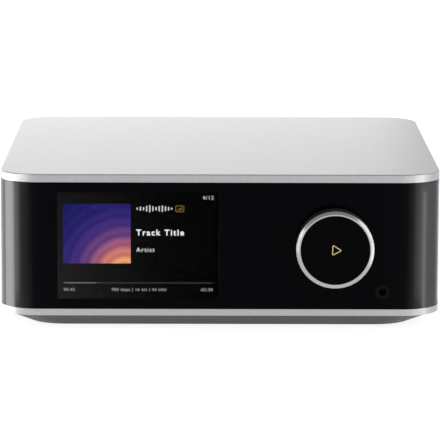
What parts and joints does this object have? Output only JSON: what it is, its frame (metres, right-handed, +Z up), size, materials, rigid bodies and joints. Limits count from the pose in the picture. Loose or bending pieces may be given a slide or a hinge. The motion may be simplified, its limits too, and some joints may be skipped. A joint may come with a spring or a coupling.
{
  "type": "network music streamer",
  "caption": "Compact rounded-square music streamer with a black wrap-around front, a touch display, a large turn and push knob, a headphone socket and rear audio sockets.",
  "frame": {"origin": "middle of the footprint on the plane that the foot ring stands on, with the knob and the earth post counted in the depth", "axes": "+X right as seen from the front, +Y to the back, +Z up"},
  "size_m": [0.205, 0.2276, 0.073],
  "materials": {
    "case_silver": "fine bead-blasted, anodised silver",
    "panel_black": "gloss black",
    "touch_glass": "clear cover glass",
    "display_face": "lit display behind the glass",
    "knob_dark": "black anodised",
    "knob_bright": "bright turned",
    "knob_black": "gloss black with a printed play symbol",
    "moulded_dark": "moulded",
    "base_grey": "fine moulded grain",
    "foot_rubber": "matt rubber",
    "rear_black": "fine moulded grain",
    "socket_black": "moulded",
    "socket_metal": "plated shells",
    "gold_plate": "gold-plated",
    "socket_core": "white and red cores",
    "steel": "plated steel",
    "circuit_green": "solder mask",
    "circuit_tan": "bare laminate",
    "chip_black": "moulded",
    "sink_black": "black anodised",
    "plug_cream": "moulded",
    "ribbon_tan": "flat film",
    "winding_yellow": "wound with tape",
    "capacitor_blue": "sleeved",
    "lead_dark": "insulated lead"
  },
  "bodies": {
    "chassis": {"case_shell": "case_silver", "front_panel": "panel_black", "touch_glass": "touch_glass", "display_module": "display_face", "front_bracket": "moulded_dark", "base_plinth": "base_grey", "foot_ring": "foot_rubber", "rear_panel": "rear_black", "headphone_socket": "socket_black", "headphone_bezel": "socket_black", "trigger_socket": "socket_black", "mains_inlet": "socket_black", "optical_in_socket": "socket_black", "optical_out_socket": "socket_black", "phono_housings": "socket_black", "network_port": "socket_metal", "data_port": "socket_metal", "video_port": "socket_metal", "phono_sleeves": "gold_plate", "earth_post": "gold_plate", "mains_pins": "gold_plate", "phono_insulators": "socket_core", "base_plate": "steel", "encoder_body": "steel", "encoder_nut": "steel", "bracket_screws": "steel", "base_screws": "steel", "plinth_screws": "steel", "rear_panel_screws": "steel", "jack_screws": "steel", "main_board_screws": "steel", "power_board_screws": "steel", "radio_shield": "steel", "converter_shield": "steel", "main_board": "circuit_green", "control_board": "circuit_green", "headphone_board": "circuit_green", "power_board": "circuit_tan", "processor": "chip_black", "antenna_left": "chip_black", "antenna_right": "chip_black", "heat_sink": "sink_black", "board_connectors": "plug_cream", "control_ribbon": "ribbon_tan", "display_ribbon": "ribbon_tan", "power_transformer": "winding_yellow", "mains_capacitor": "capacitor_blue", "output_capacitors": "capacitor_blue", "mains_lead": "lead_dark", "power_lead": "lead_dark"},
    "push_carrier": {"switch_plunger": "plug_cream"},
    "knob": {"knob_shell": "knob_dark", "knob_trim_ring": "knob_bright", "knob_face": "knob_black", "encoder_shaft": "steel"},
    "washer": {"earth_washer": "gold_plate"},
    "thumb_nut": {"earth_nut": "gold_plate"},
    "optical_in_flap": {"optical_in_shutter": "socket_black"},
    "optical_out_flap": {"optical_out_shutter": "socket_black"}
  },
  "joints": [
    {"name": "knob_press", "type": "slide", "parent": "chassis", "child": "push_carrier", "axis": [0, 1, 0], "range_m": [0, 0.0006], "stiffness_N_per_m": 4000},
    {"name": "knob_turn", "type": "hinge", "parent": "push_carrier", "child": "knob", "pos_m": [0.053, -0.102, 0.0395], "axis": [0, 1, 0], "continuous": true},
    {"name": "earth_nut_travel", "type": "slide", "parent": "chassis", "child": "washer", "axis": [0, 1, 0], "range_m": [0, 0.003]},
    {"name": "earth_nut_turn", "type": "hinge", "parent": "washer", "child": "thumb_nut", "pos_m": [0.0735, 0.104, 0.0335], "axis": [0, 1, 0], "range_deg": [0, 1545]},
    {"name": "optical_in_hinge", "type": "hinge", "parent": "chassis", "child": "optical_in_flap", "pos_m": [0.008, 0.097, 0.0261], "axis": [-1, 0, 0], "range_deg": [0, 86], "stiffness_Nm_per_rad": 0.0002},
    {"name": "optical_out_hinge", "type": "hinge", "parent": "chassis", "child": "optical_out_flap", "pos_m": [-0.0025, 0.097, 0.0261], "axis": [-1, 0, 0], "range_deg": [0, 86], "stiffness_Nm_per_rad": 0.0002}
  ],
  "couplings": [
    {"joint": "earth_nut_turn", "follows": "earth_nut_travel", "rad_per_m": 8976}
  ]
}
